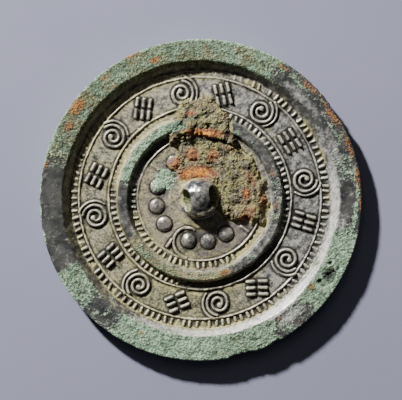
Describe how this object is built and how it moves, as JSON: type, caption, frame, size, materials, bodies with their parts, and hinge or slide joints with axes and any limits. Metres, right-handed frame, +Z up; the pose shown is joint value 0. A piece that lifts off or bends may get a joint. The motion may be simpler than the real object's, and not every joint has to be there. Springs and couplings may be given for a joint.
{
  "type": "ancient bronze mirror",
  "caption": "Round cast bronze mirror lying polished face down, its back with a pierced domed knob, beads, toothed rings, spirals and a thick plain rim, under patina and crust",
  "frame": {"origin": "centre of the flat, polished underside", "axes": "+Z up through the decorated back, +X to the right and +Y up the back as a viewer above sees it"},
  "size_m": [0.08, 0.08, 0.0071],
  "materials": {
    "patinated_bronze": "ancient cast bronze, mottled green and grey patina with rust-orange spots and a granular tan crust"
  },
  "bodies": {
    "root": {"bronze_mirror": "patinated_bronze"}
  },
  "joints": []
}
